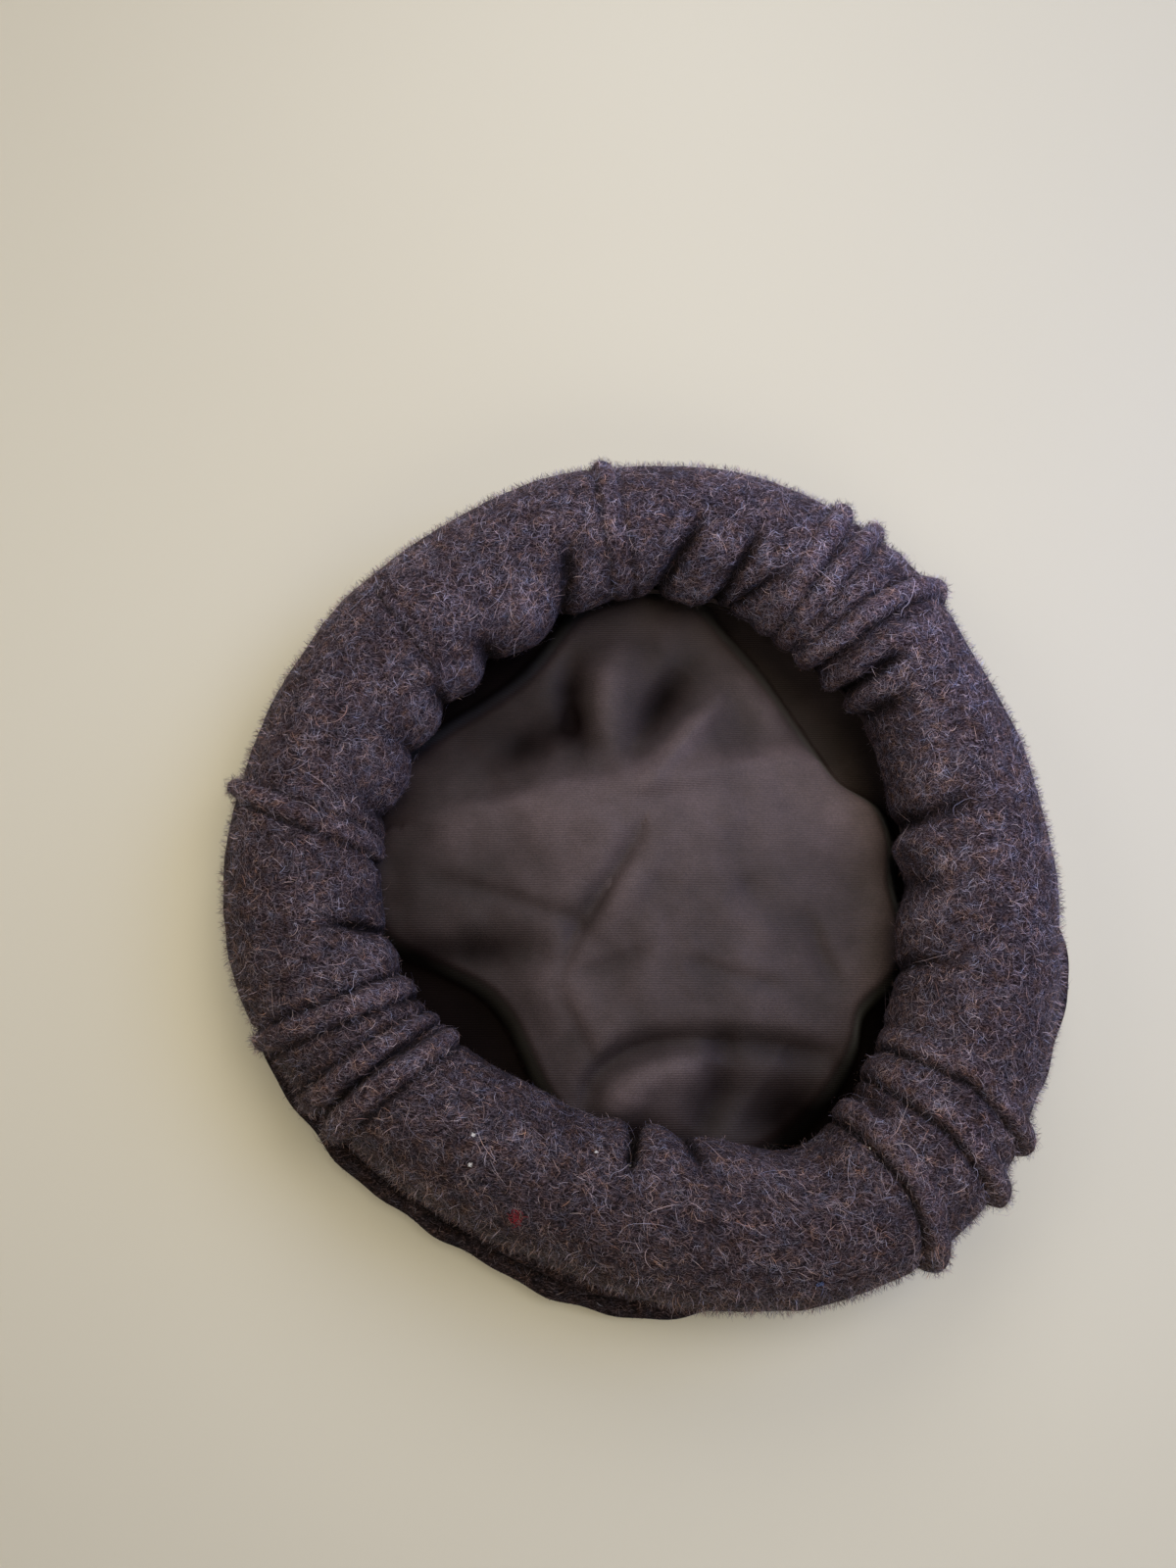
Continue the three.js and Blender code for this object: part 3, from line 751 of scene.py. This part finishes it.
# Ridges and valleys of the lining, each a curve through three points, with its width on
# the left and on the right of travel and its height.
LINING_FOLDS = table(
    "x1   y1   x2   y2   x3   y3   left right height",
    """  24   65   14   53    1   39    4    6    3.6
        13   78    5   66   -4   49    7    6   -4.8
       -26   80  -27   66  -24   50    5    6   -4.6
       -12   80  -15   68  -16   56    7    6    2.8
       -54   42  -42   50  -28   55    9    9   -3.6
        -8   28   14   31   36   38    4    7   -2.0
        36   72   42   62   50   54    7    6    2.0
       -78   21  -17   31   50   43    7   30    4.0
        44   45   62   40   82   22    4   12    3.0
       -30    4  -42    8  -58    8    6    9   -1.2
        -4   18  -14    1  -24  -14    2.6  5   -3.0
         2   11  -10   -6  -20  -22    5    5    1.4
       -24  -14  -28  -24  -31  -34    2.5  3.5 -1.3
       -71    2  -50   -4  -26  -12    2.5  3.5 -1.2
       -88  -26  -61  -22  -40  -23    6    7   -4.2
        -3  -23  -14  -27  -25  -31    2.6  3   -1.2
       -31  -36  -27  -44  -21  -56    2.6  3.5 -1.4
        14  -26   30  -31   42  -34    2.6  3.5 -1.0
        54  -12   58  -24   63  -32    3    4.5 -1.6
        30   16   33    0   46  -18    7    6   -0.9
       -22  -75  -10  -56   24  -51    4    5   -4.4
        24  -51   42  -53   60  -57    4    6   -3.8
       -10  -74   -1  -65   13  -61    6    6    3.0
        24  -60   20  -70   14  -81    6    7   -4.0
       -18  -84   -8  -82    6  -86    6    5   -5.0
        33  -70   46  -74   62  -70   13   14   -7.0
       -50  -20  -30  -36  -14  -60    9    9    2.0""",
)
FOLD_STEPS = 24  # straight parts that a curve is taken as

# Unevenness of the puff: height, size of its bumps and seed.
PUFF_BUMPS = ((1.1, 17.0, 11), (0.3, 5.5, 12))


def fold_height(fold, x, y):
    """Height that one fold adds at points; its ends fade out."""
    t = np.linspace(0, 1, FOLD_STEPS + 1)
    curve = [
        a * (1 - t) * (1 - 2 * t) + b * 4 * t * (1 - t) + c * t * (2 * t - 1)
        for a, b, c in (
            (fold["x1"], fold["x2"], fold["x3"]), (fold["y1"], fold["y2"], fold["y3"]),
        )
    ]
    best = np.full(x.shape, 1e9)
    height = np.zeros(x.shape)
    for k in range(FOLD_STEPS):
        ax, ay = curve[0][k], curve[1][k]
        dx, dy = curve[0][k + 1] - ax, curve[1][k + 1] - ay
        share = np.clip(((x - ax) * dx + (y - ay) * dy) / (dx * dx + dy * dy), 0, 1)
        px, py = x - ax - share * dx, y - ay - share * dy
        distance = np.hypot(px, py)
        width = np.where(dx * py - dy * px > 0, fold["left"], fold["right"])
        place = (k + share) / FOLD_STEPS
        fade = np.sin(math.pi * np.clip(0.1 + 0.8 * place, 0, 1)) ** 0.6
        here = fold["height"] * fade * np.exp(-((distance / width) ** 2))
        height = np.where(distance < best, here, height)
        best = np.minimum(best, distance)
    return height


def facing_light(angle):
    """1 where light reaches into the pocket, and 0 well away from there."""
    return ramp_up(np.cos(np.radians(angle - LIT_SIDE)), 0.3, 0.95)


def puff_height(flat, angle, radius):
    """Height of the puffed lining, and its painted light and shade: ridges pale, low parts dark.
    """
    x, y = flat[..., 0], flat[..., 1]
    share = radius / smooth(PUFF_EDGE, "radius", angle)
    fall = ramp_up(share, 0.94, 1.05)
    dome = (1 - 0.32 * np.clip(share, 0, 1) ** 2) * (1 - fall) ** 0.8
    folds = sum(fold_height(fold, x, y) for fold in LINING_FOLDS)
    for height, size, seed in PUFF_BUMPS:
        folds = folds + height * bumps(flat, size, seed)
    north = ramp_up(y, 32, 66)
    west = ramp_up(-x, 5, 75)
    # Painted light and shade: paler on ridges; duller to the north and the west, at the south
    # and west edges, and in the pocket.
    pale = PUFF_PALE + PALE_PER_HEIGHT * folds - 0.17 * north - 0.23 * west
    pale -= 0.26 * ramp_up(-y, 70, 90) + 0.16 * ramp_up(-x, 68, 86)
    pale *= 1 - (0.82 - 0.7 * facing_light(angle)) * fall
    folds = folds - NORTH_FALL * north - WEST_FALL * west
    return LINING_FLOOR + dome * np.maximum(PUFF + folds, PUFF_LEAST), pale


def top_over(angle):
    """Direction on top of the roll of the cloth's line that comes in at an angle."""
    top = angle.copy()
    for _ in range(8):
        top = angle - lean_of(top, np.full_like(top, -1.0))
    return top


def lining_surface():
    """The lining's middle: a puff over the crown, a pocket, and a side sewn up the band."""
    angle = np.arange(LINING_COLUMNS) * 360.0 / LINING_COLUMNS
    inner = smooth(ROLL, "inner", angle)
    outer = smooth(ROLL, "outer", angle)
    pocket = inner + (outer - inner) * POCKET_REACH
    share = np.linspace(0, 1, LINING_RINGS)[None] ** 0.85
    radius = share * pocket[:, None]
    around = angle[:, None] + 0 * radius
    z, pale = puff_height(to_xyz(radius, around, 0 * radius), around, radius)
    puff = np.stack([radius, z], -1)
    band = band_nodes(top_over(angle))[..., :2]
    normal = left_normals(band)
    offsets = [(CLOTH + LINING_CLOTH) / 2 + gap for gap in SIDE_GAPS]
    turn, side, hem = [
        band[:, k] + normal[:, k] * offset for k, offset in zip(SIDE_ROWS, offsets)
    ]
    bend = np.stack([turn[:, 0] + 2.6, LINING_FLOOR + 0.55 * (turn[:, 1] - LINING_FLOOR)], -1)
    upper = side + (hem - side) * 0.35
    rise = along_curve(np.stack([puff[:, -1], bend, turn, side, upper], 1), (5, 5, 5, 5, 0))
    side_pale = SIDE_PALE + (LIT_SIDE_PALE - SIDE_PALE) * facing_light(angle)
    pale = np.concatenate([pale, side_pale[:, None] + 0 * rise[:, 1:, 0]], 1)
    return angle, np.concatenate([puff, rise[:, 1:]], 1), np.clip(pale, 0, 1)


def build_lining(material):
    """One closed cloth: its visible face, and its hidden one with fewer rows."""
    angle, path, pale = lining_surface()
    normal = left_normals(path)
    under, upper = [
        to_xyz(p[..., 0], angle[:, None], p[..., 1])
        for p in (path - normal * LINING_CLOTH / 2, path + normal * LINING_CLOTH / 2)
    ]
    keep = every_few(path.shape[1], LINING_HIDDEN_STEP)
    points = np.concatenate([under[:, keep], upper[:, ::-1]], 1)
    faces = grid_faces(LINING_COLUMNS, points.shape[1], close_rows=False)[:, ::-1]
    values = {"pale": np.concatenate([pale[:, keep], pale[:, ::-1]], 1)}
    piece = make_mesh("lining_satin", points, faces, material, values)
    weld(piece)
    return piece


# ---- materials -------------------------------------------------------


def srgb(*screen):
    """Linear colour from screen values, which all lie from 11 to 255."""
    return tuple(((value / 255 + 0.055) / 1.055) ** 2.4 for value in screen)


def grey(value):
    return (value, value, value)


class Nodes:
    """Short way to build a material's nodes."""

    def __init__(self, name):
        self.material = bpy.data.materials.new(name)
        self.material.use_nodes = True
        self.tree = self.material.node_tree
        self.shader = self.tree.nodes["Principled BSDF"]

    def add(self, kind, inputs=None, **settings):
        node = self.tree.nodes.new(kind)
        for key, value in settings.items():
            setattr(node, key, value)
        for key, value in (inputs or {}).items():
            self.feed(node.inputs[key], value)
        return node

    def feed(self, socket, value):
        if isinstance(value, bpy.types.NodeSocket):
            self.tree.links.new(value, socket)
        elif socket.type == "RGBA":
            socket.default_value = (*value, 1.0)
        else:
            socket.default_value = value

    def set(self, **values):
        """Feeds the shader's sockets, whose names are written with underscores."""
        for key, value in values.items():
            socket = key.replace("_", " ").title().replace("Ior", "IOR")
            self.feed(self.shader.inputs[socket], value)

    def position(self):
        return self.add("ShaderNodeTexCoord").outputs["Object"]

    def attribute(self, name):
        return self.add("ShaderNodeAttribute", attribute_name=name).outputs["Fac"]

    def vector(self, operation, a, b):
        return self.add("ShaderNodeVectorMath", {0: a, 1: b}, operation=operation).outputs[0]

    def mapped(self, place, shift, turn, scale):
        inputs = {"Vector": place, "Location": shift, "Rotation": turn, "Scale": scale}
        return self.add("ShaderNodeMapping", inputs).outputs[0]

    def ramp(self, factor, *stops):
        """Colour for a factor, from pairs of a position and a colour."""
        node = self.add("ShaderNodeValToRGB", {"Fac": factor})
        elements = node.color_ramp.elements
        while len(elements) < len(stops):
            elements.new(0.5)
        for element, (position, colour) in zip(elements, stops):
            element.position = position
            element.color = (*colour, 1.0)
        return node.outputs["Color"]

    def math(self, operation, a, b):
        return self.add("ShaderNodeMath", {0: a, 1: b}, operation=operation).outputs[0]

    def multiply(self, first, *others):
        """Product of colours."""
        for other in others:
            inputs = {0: 1.0, 6: first, 7: other}
            node = self.add("ShaderNodeMix", data_type="RGBA", blend_type="MULTIPLY")
            for index, value in inputs.items():
                self.feed(node.inputs[index], value)
            first = node.outputs[2]
        return first

    def noise(self, place, scale, detail=2.0, roughness=0.5):
        inputs = {"Vector": place, "Scale": scale, "Detail": detail, "Roughness": roughness}
        return self.add("ShaderNodeTexNoise", inputs).outputs


def heather_and_painted_light(n, place):
    """Tint of the blended wool, as a multiplier: patches of plum, blue, rust and tan.

    Over the whole hat it goes from darker and browner at the near left to paler and greyer at
    the far right: painted light.
    """
    patches = n.ramp(
        n.noise(place, 260.0, 3.0, 0.75)["Fac"],
        (0.30, srgb(196, 204, 232)),
        (0.42, srgb(214, 212, 226)),
        (0.52, srgb(222, 210, 218)),
        (0.61, srgb(228, 206, 198)),
        (0.72, srgb(238, 204, 182)),
    )
    broad = n.noise(place, 95.0, 3.0, 0.65)["Fac"]
    shade = n.ramp(broad, (0.32, grey(0.8)), (0.68, grey(1.2)))
    turned = n.mapped(place, (0.5, 0, 0), (0, 0, -1.05), grey(3.3))
    across = n.add("ShaderNodeTexGradient", {"Vector": turned}).outputs["Fac"]
    # Painted light: darker and browner at the near left, paler and bluer at the far right.
    fade = n.ramp(
        across,
        (0.0, (0.70, 0.67, 0.60)),
        (0.5, grey(1.0)),
        (1.0, (1.3, 1.36, 1.5)),
    )
    return n.multiply(patches, shade, fade)


# How the four layers of fibres in the cloth are turned, in radians, and how fine they are
# along and across the fibres.
FIBRE_TURNS = ((0, 0, 0.2), (0, 0.9, 1.1), (0.8, 0.4, 2.0), (1.1, 0, 2.9))
FIBRE_SCALE = (420, 2500, 2500)


def felted_cloth(name):
    """The wool under the fuzz: fibres crossing in all directions over dark gaps."""
    n = Nodes(name)
    place = n.position()
    sway = n.vector("MULTIPLY", n.noise(place, 240.0, 1.0)["Color"], grey(0.004))
    bent = n.vector("ADD", place, sway)
    layers = []
    for index, turn in enumerate(FIBRE_TURNS):
        turned = n.mapped(bent, grey(index * 3.7), turn, FIBRE_SCALE)
        layers.append(n.noise(turned, 1.0, 1.0)["Fac"])
    fibres = layers[0]
    for layer in layers[1:]:
        fibres = n.math("MAXIMUM", fibres, layer)
    tones = n.ramp(
        fibres,
        (0.50, srgb(24, 16, 18)),
        (0.60, srgb(50, 40, 44)),
        (0.68, srgb(92, 80, 85)),
        (0.78, srgb(140, 128, 132)),
    )
    standing = n.attribute("standing")
    # Painted shade in grooves and gathers and a painted highlight where the cloth stands out,
    # from its standing, which also carries the painted glow at the rim and the crown's painted
    # shade.
    depth = n.ramp(standing, (0.15, grey(0.2)), (LEVEL, grey(1.0)), (0.9, grey(1.7)))
    bump = n.add("ShaderNodeBump", {"Height": fibres, "Strength": 0.5, "Distance": 0.0007})
    n.set(base_color=n.multiply(tones, heather_and_painted_light(n, place), depth), normal=bump.outputs[0])
    n.set(roughness=0.95, specular_ior_level=0.15)
    return n.material


def fibre_material(name):
    """Single wool fibres, whose tone, with its painted light and shade, and tint are given on
    the mesh.
    """
    n = Nodes(name)
    tones = n.ramp(
        n.attribute("tone"),
        (0.0, srgb(34, 26, 29)),
        (0.25, srgb(62, 54, 58)),
        (0.5, srgb(112, 103, 107)),
        (0.75, srgb(178, 170, 174)),
        (1.0, srgb(236, 228, 226)),
    )
    tints = n.ramp(
        n.attribute("tint"),
        (0.0, srgb(218, 228, 255)),
        (0.2, srgb(235, 238, 252)),
        (0.45, srgb(255, 246, 252)),
        (0.7, srgb(255, 246, 242)),
        (0.88, srgb(255, 236, 224)),
        (1.0, srgb(255, 216, 200)),
    )
    colour = n.multiply(tones, tints, heather_and_painted_light(n, n.position()))
    n.set(base_color=colour, roughness=0.8, specular_ior_level=0.25)
    return n.material


def fleck_material(name):
    """Wool of other colours, for the specks."""
    n = Nodes(name)
    dyes = n.ramp(
        n.attribute("hue"),
        (0.0, srgb(214, 208, 206)),
        (0.5, srgb(84, 104, 150)),
        (1.0, srgb(136, 34, 46)),
    )
    grain = n.ramp(n.noise(n.position(), 900.0)["Fac"], (0.3, grey(0.8)), (0.7, grey(1.1)))
    n.set(base_color=n.multiply(dyes, grain), roughness=0.8, specular_ior_level=0.2)
    return n.material


def satin_material(name):
    """A satin with fine ribs, whose painted light and shade is given on the mesh as paleness."""
    n = Nodes(name)
    place = n.position()
    ribs = n.add(
        "ShaderNodeTexWave",
        {"Vector": place, "Scale": 400.0, "Distortion": 1.2, "Detail": 2.0, "Detail Scale": 1.5},
        wave_type="BANDS",
        bands_direction="Y",
    ).outputs["Fac"]
    cloud = n.noise(place, 55.0, 4.0, 0.6)["Fac"]
    dye = n.ramp(cloud, (0.3, srgb(69, 57, 55)), (0.7, srgb(87, 73, 72)))
    pale = n.attribute("pale")
    # Painted light and shade from the mesh's paleness.
    painted_light_and_shade = n.ramp(
        pale,
        (0.1, (0.06, 0.042, 0.04)),
        (0.4, (0.26, 0.2, 0.19)),
        (0.7, (0.54, 0.5, 0.51)),
        (1.0, (1.2, 1.18, 1.24)),
    )
    lines = n.ramp(ribs, (0.0, grey(0.86)), (1.0, grey(1.08)))
    grain = n.ramp(n.noise(place, 1500.0)["Fac"], (0.3, grey(0.82)), (0.7, grey(1.15)))
    bump = n.add("ShaderNodeBump", {"Height": ribs, "Strength": 0.3, "Distance": 0.0002})
    n.set(base_color=n.multiply(dye, painted_light_and_shade, lines, grain), normal=bump.outputs[0])
    # Gloss and sheen fade out where shade is painted.
    shine = n.ramp(pale, (0.1, grey(0.03)), (0.45, grey(0.25)))
    n.set(roughness=0.64, specular_ior_level=shine)
    n.set(sheen_weight=n.math("MULTIPLY", shine, 0.6), sheen_roughness=0.4)
    return n.material


# ---- assembly --------------------------------------------------------


def enter(piece, node=None):
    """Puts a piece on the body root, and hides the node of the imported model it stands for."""
    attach(piece, "root")
    if node:
        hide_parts(node)


# The cloth and its fibres are paler towards the rim, the roll's fuzzy outer edge: a painted
# glow. Fibres are much darker in grooves and gathers, painted shade, and a little paler where
# the cloth stands out, a painted highlight. The crown's fibres get painted shade from the roll.
RIM_PAINTED_GLOW_STANDING = 0.12
RIM_PAINTED_GLOW_TONE = 0.08
TONE_PER_STANDING = 1.4
TONE_LEAST, TONE_MOST = -0.5, 0.06
CROWN_PAINTED_SHADE_TONE = -0.14

wool = felted_cloth("wool")
fibre = fibre_material("wool_fibre")

crown_points = crown_surface()
enter(build_crown(crown_points, wool), "crown")

brim_points, brim_hidden, brim_along, brim_standing = band_surface()
# Painted glow of the roll's fuzzy rim.
rim = ramp_up(brim_along, 0.2, 0.65)
brim_piece = build_brim(brim_points, brim_hidden, brim_standing + RIM_PAINTED_GLOW_STANDING * rim, wool)
enter(brim_piece, "rolled_brim")

lining_piece = build_lining(satin_material("lining_satin"))
enter(lining_piece, "lining")

# Painted shade of the fibres in grooves and gathers, and a painted highlight on what stands out.
painted_relief_shading = np.clip(TONE_PER_STANDING * (brim_standing - LEVEL), TONE_LEAST, TONE_MOST)
brim_shade = painted_relief_shading + RIM_PAINTED_GLOW_TONE * rim
brim = (brim_points, grid_normals(brim_points, -1.0), brim_shade)
# Painted shade of the crown's fibres under the roll.
crown_shade = np.full(crown_points.shape[:2], CROWN_PAINTED_SHADE_TONE)
crown = (crown_points, grid_normals(crown_points, 1.0), crown_shade)

# The rows of the band where patches of fibres start and end, by their place on the roll,
# and the rows of the crown that can be seen, round its edge.
row_along = brim_along.mean(0)
start, crest, edge, under, end = [
    int(np.argmax(row_along >= along)) for along in (-1.35, -0.1, 0.5, 1.0, 1.5)
]
crown_rows = (12, 40)
for name, surface, rows, count, seed, kind in (
    ("wool_curls_inner", brim, (start, crest), 38000, 21, CURLED),
    ("wool_curls_outer", brim, (crest, end), 45000, 22, CURLED),
    ("wool_fuzz_inner", brim, (start, crest), 54000, 25, SHORT),
    ("wool_fuzz_outer", brim, (crest, end), 60000, 26, SHORT),
    ("wool_fuzz_crown", crown, crown_rows, 9000, 23, CURLED),
    ("wool_halo", brim, (edge, under), 17000, 27, HALO),
    ("stray_hairs", brim, (start, end), 460, 24, HAIRS),
):
    enter(build_strands(name, surface, rows, count, seed, fibre, kind))

enter(build_flecks(*brim[:2], brim_along, fleck_material("wool_fleck")))

# ---- table, light and camera -----------------------------------------

TABLE_REACH = 1.5  # metres from its middle to each side


def build_table():
    """A plain, pale table."""
    n = Nodes("table_top")
    cloud = n.noise(n.position(), 2.0)["Fac"]
    n.set(base_color=n.ramp(cloud, (0.3, srgb(214, 204, 184)), (0.7, srgb(218, 209, 190))))
    n.set(roughness=0.5)
    mesh = bpy.data.meshes.new("table_top")
    far = TABLE_REACH
    corners = [(-far, -far, 0), (far, -far, 0), (far, far, 0), (-far, far, 0)]
    mesh.from_pydata(corners, [], [(0, 1, 2, 3)])
    mesh.materials.append(n.material)
    top = bpy.data.objects.new("table_top", mesh)
    bpy.context.scene.collection.objects.link(top)


def area_light(name, spot, aim, size, power, colour, spread=180.0):
    """A round lamp at a spot, in metres and watts, with its spread in degrees."""
    data = bpy.data.lights.new(name, "AREA")
    data.shape = "DISK"
    data.size = size
    data.energy = power
    data.color = colour
    data.spread = math.radians(spread)
    light = bpy.data.objects.new(name, data)
    light.location = spot
    light.rotation_euler = (Vector(aim) - Vector(spot)).to_track_quat("-Z", "Y").to_euler()
    bpy.context.scene.collection.objects.link(light)


def build_light():
    """Soft light from above and from the far side, with bluish daylight from the right."""
    area_light("ceiling", (0.2, 0.2, 1.3), (0, 0, 0), 0.9, 7.2, (1.0, 0.9, 0.6))
    area_light("wall", (0.0, 0.97, 0.87), (0, 0, 0), 0.7, 4.6, (0.98, 0.99, 0.98))
    area_light("window", (0.86, 0.4, 0.85), (0, 0, 0), 0.9, 5.4, (0.24, 0.42, 1.0))
    area_light("near_window", (0.33, 0.12, 0.68), (0, 0, 0), 0.5, 1.7, (0.55, 0.66, 1.0))
    area_light("lamp", (0.25, -0.93, 0.87), (0.1, 0.12, 0), 0.7, 0.35, (1.0, 0.98, 0.85), 60.0)
    area_light("side_lamp", (-0.9, 0.1, 0.8), (-0.15, 0, 0), 0.7, 0.4, (1.0, 0.97, 0.9), 70.0)
    world = bpy.data.worlds.new("room")
    bpy.context.scene.world = world
    world.use_nodes = True
    background = world.node_tree.nodes["Background"]
    background.inputs["Color"].default_value = (0.95, 0.94, 0.88, 1.0)
    background.inputs["Strength"].default_value = 0.06


# Where the camera is and where it looks, in mm from the hat's centre.
CAMERA_EYE = (-34.6, -48.3, 420.0)
CAMERA_AIM = (-21.9, 33.0, 30.0)
CAMERA_LENS = 27.04
CAMERA_SENSOR = 36.0


def from_centre(x, y, z):
    """A place in metres, from millimetres round the hat's centre."""
    return Vector((CENTRE[0] + x, CENTRE[1] + y, z)) * MM


def build_camera():
    """A phone's main camera, held a little towards the viewer's side of the cap."""
    eye = from_centre(*CAMERA_EYE)
    forward = (from_centre(*CAMERA_AIM) - eye).normalized()
    up = (Vector((0, 1, 0)) - forward * forward.y).normalized()
    right = forward.cross(up)
    data = bpy.data.cameras.new("camera")
    data.lens = CAMERA_LENS
    data.sensor_width = CAMERA_SENSOR
    data.clip_start = 0.01
    camera = bpy.data.objects.new("camera", data)
    turn = Matrix((right, up, -forward)).transposed().to_4x4()
    camera.matrix_world = Matrix.Translation(eye) @ turn
    bpy.context.scene.collection.objects.link(camera)
    bpy.context.scene.camera = camera


build_table()
build_light()
build_camera()
bpy.context.scene.view_settings.view_transform = "Standard"
